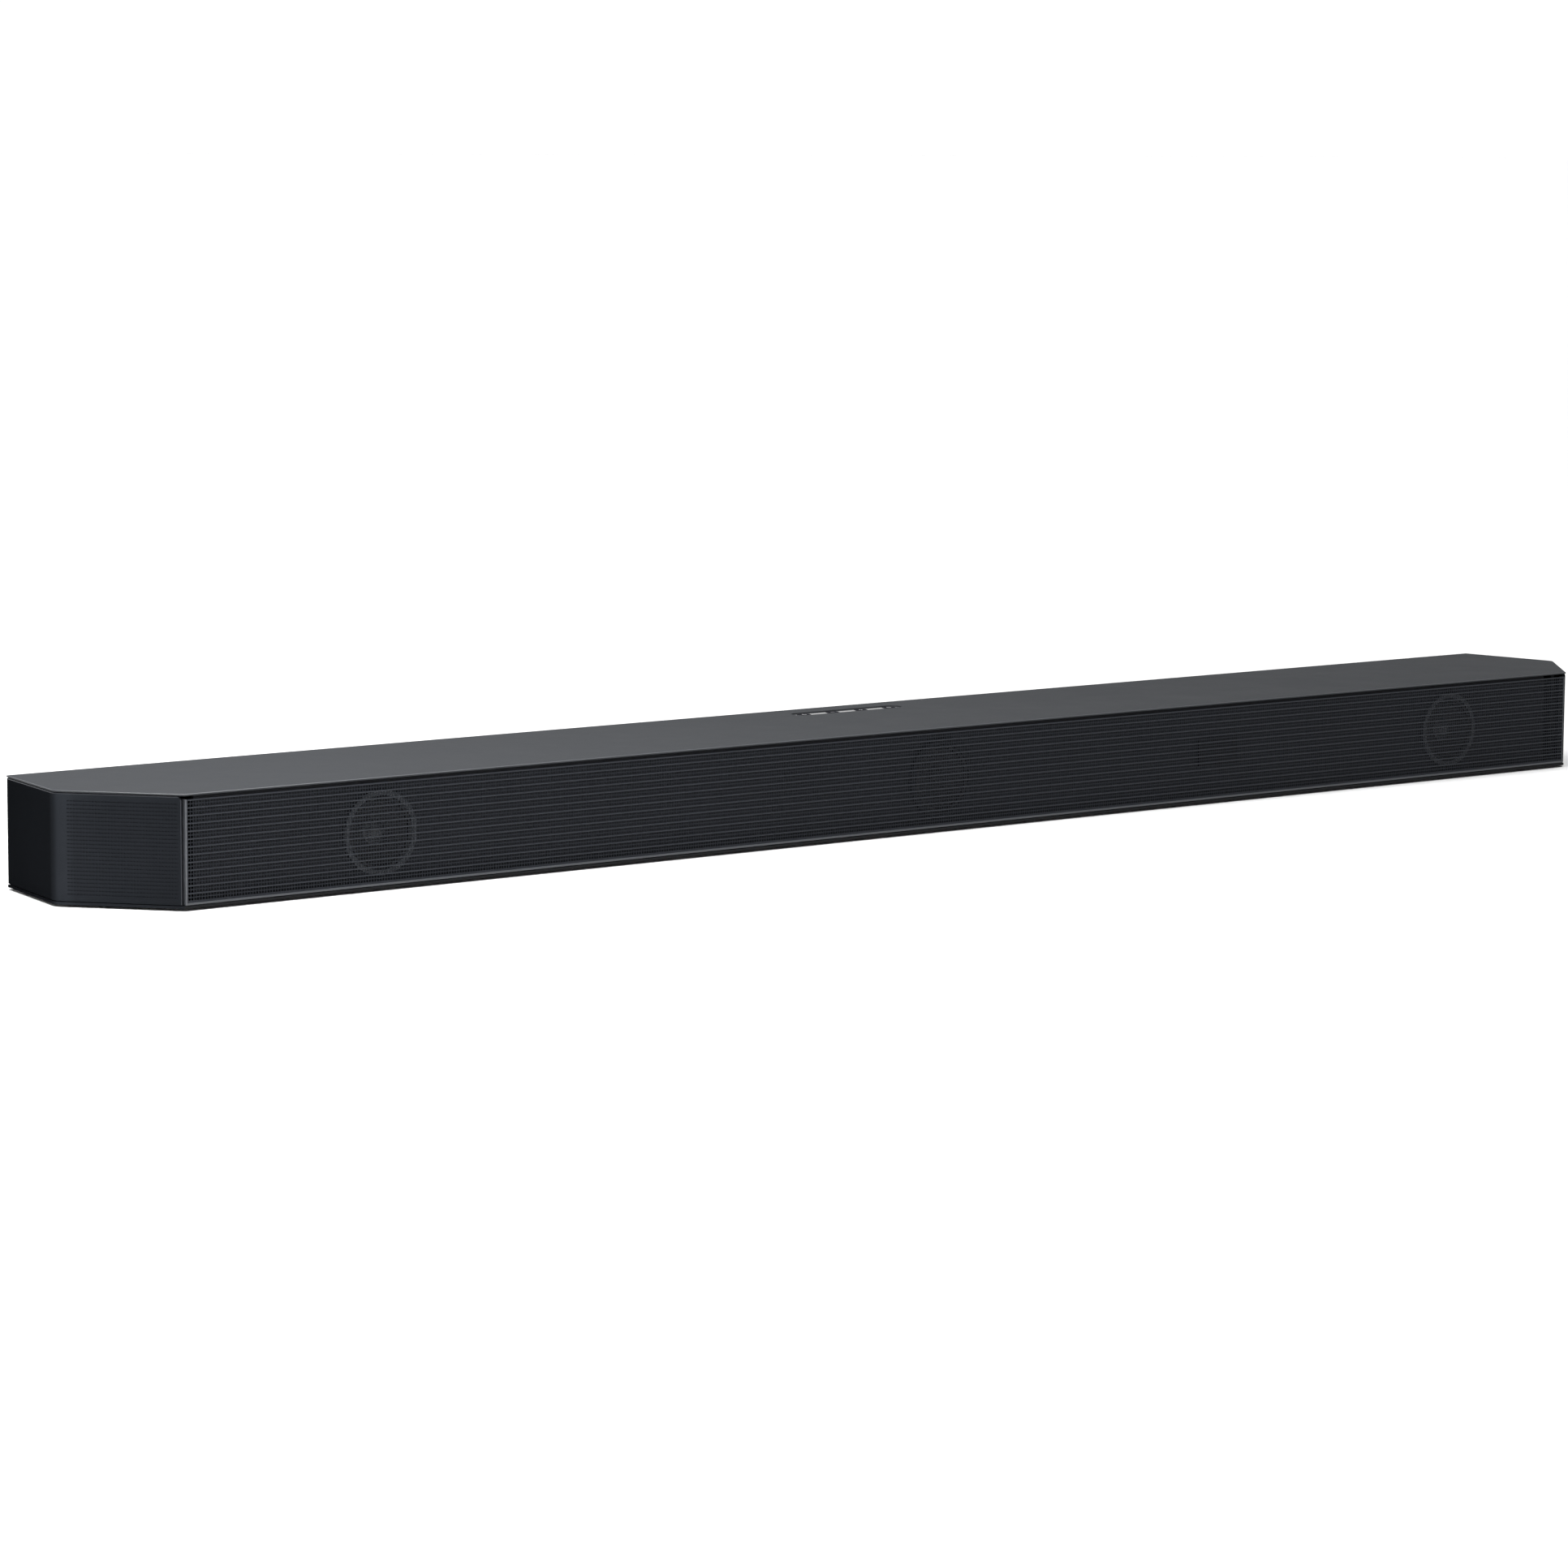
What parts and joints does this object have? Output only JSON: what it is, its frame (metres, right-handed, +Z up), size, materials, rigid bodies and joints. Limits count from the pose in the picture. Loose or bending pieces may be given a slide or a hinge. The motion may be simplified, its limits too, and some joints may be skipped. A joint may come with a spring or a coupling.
{
  "type": "soundbar",
  "caption": "Long low soundbar with bevelled perforated ends, square-mesh front over round drivers, sunk key strip on top and a connector bay at the back.",
  "frame": {"origin": "centre of the bounding box's bottom face, on the surface that the feet stand on", "axes": "+X along the length, towards the right end as seen from the front; the front grille faces -Y; +Z up"},
  "size_m": [1.1106, 0.12, 0.0604],
  "materials": {
    "top_paint": "fine-grained satin dark grey",
    "grille_paint": "satin charcoal on perforated sheet",
    "end_paint": "smooth satin near-black",
    "case_plastic": "fine-textured black moulding",
    "strip_plastic": "semi-gloss dark grey moulding",
    "key_plastic": "black satin keys",
    "baffle_plastic": "black moulding",
    "frame_metal": "pressed steel, grey",
    "surround_rubber": "matte black",
    "cone_paper": "dark pressed fibre cone",
    "magnet_steel": "plated steel",
    "board_green": "green solder mask",
    "sink_aluminium": "extruded aluminium",
    "socket_steel": "nickel-plated shell",
    "socket_plastic": "black moulding",
    "foot_rubber": "matte black",
    "screw_steel": "black-oxide steel"
  },
  "bodies": {
    "case": {"ac_inlet": "socket_plastic", "bottom_plate": "case_plastic", "case_screw_1": "screw_steel", "case_screw_2": "screw_steel", "case_screw_3": "screw_steel", "case_screw_4": "screw_steel", "case_screw_5": "screw_steel", "case_screw_6": "screw_steel", "center_chamber": "baffle_plastic", "center_speaker_frame": "frame_metal", "center_speaker_magnet": "magnet_steel", "center_speaker_surround": "surround_rubber", "connector_bay": "case_plastic", "end_cap_left": "end_paint", "end_cap_right": "end_paint", "foot_front_left": "foot_rubber", "foot_front_right": "foot_rubber", "foot_rear_left": "foot_rubber", "foot_rear_right": "foot_rubber", "front_baffle": "baffle_plastic", "front_grille": "grille_paint", "hdmi_socket_in": "socket_steel", "hdmi_socket_out": "socket_steel", "heat_sink": "sink_aluminium", "key_board": "board_green", "key_strip": "strip_plastic", "left_chamber": "baffle_plastic", "left_side_baffle": "baffle_plastic", "left_side_speaker_frame": "frame_metal", "left_side_speaker_magnet": "magnet_steel", "left_side_speaker_surround": "surround_rubber", "left_speaker_frame": "frame_metal", "left_speaker_magnet": "magnet_steel", "left_speaker_surround": "surround_rubber", "main_board": "board_green", "optical_socket": "socket_plastic", "power_board": "board_green", "rear_panel": "case_plastic", "receiver_board": "board_green", "right_chamber": "baffle_plastic", "right_side_baffle": "baffle_plastic", "right_side_speaker_frame": "frame_metal", "right_side_speaker_magnet": "magnet_steel", "right_side_speaker_surround": "surround_rubber", "right_speaker_frame": "frame_metal", "right_speaker_magnet": "magnet_steel", "right_speaker_surround": "surround_rubber", "top_cover": "top_paint", "wireless_module": "board_green"},
    "key_power": {"key_power": "key_plastic"},
    "key_volume_down": {"key_volume_down": "key_plastic"},
    "key_volume_up": {"key_volume_up": "key_plastic"},
    "key_source": {"key_source": "key_plastic"},
    "left_speaker_cone": {"left_speaker_cone": "cone_paper"},
    "center_speaker_cone": {"center_speaker_cone": "cone_paper"},
    "right_speaker_cone": {"right_speaker_cone": "cone_paper"},
    "left_side_speaker_cone": {"left_side_speaker_cone": "cone_paper"},
    "right_side_speaker_cone": {"right_side_speaker_cone": "cone_paper"}
  },
  "joints": [
    {"name": "power_press", "type": "slide", "parent": "case", "child": "key_power", "axis": [0, 0, -1], "range_m": [0, 0.0006], "stiffness_N_per_m": 1500, "springref_m": -0.0002},
    {"name": "volume_down_press", "type": "slide", "parent": "case", "child": "key_volume_down", "axis": [0, 0, -1], "range_m": [0, 0.0006], "stiffness_N_per_m": 1500, "springref_m": -0.0002},
    {"name": "volume_up_press", "type": "slide", "parent": "case", "child": "key_volume_up", "axis": [0, 0, -1], "range_m": [0, 0.0006], "stiffness_N_per_m": 1500, "springref_m": -0.0002},
    {"name": "source_press", "type": "slide", "parent": "case", "child": "key_source", "axis": [0, 0, -1], "range_m": [0, 0.0006], "stiffness_N_per_m": 1500, "springref_m": -0.0002},
    {"name": "left_speaker_stroke", "type": "slide", "parent": "case", "child": "left_speaker_cone", "axis": [0, -1, 0], "range_m": [-0.002, 0.002], "stiffness_N_per_m": 1200},
    {"name": "center_speaker_stroke", "type": "slide", "parent": "case", "child": "center_speaker_cone", "axis": [0, -1, 0], "range_m": [-0.002, 0.002], "stiffness_N_per_m": 1200},
    {"name": "right_speaker_stroke", "type": "slide", "parent": "case", "child": "right_speaker_cone", "axis": [0, -1, 0], "range_m": [-0.002, 0.002], "stiffness_N_per_m": 1200},
    {"name": "left_side_speaker_stroke", "type": "slide", "parent": "case", "child": "left_side_speaker_cone", "axis": [-0.7644, -0.6447, 0], "range_m": [-0.002, 0.002], "stiffness_N_per_m": 1200},
    {"name": "right_side_speaker_stroke", "type": "slide", "parent": "case", "child": "right_side_speaker_cone", "axis": [0.7644, -0.6447, 0], "range_m": [-0.002, 0.002], "stiffness_N_per_m": 1200}
  ]
}
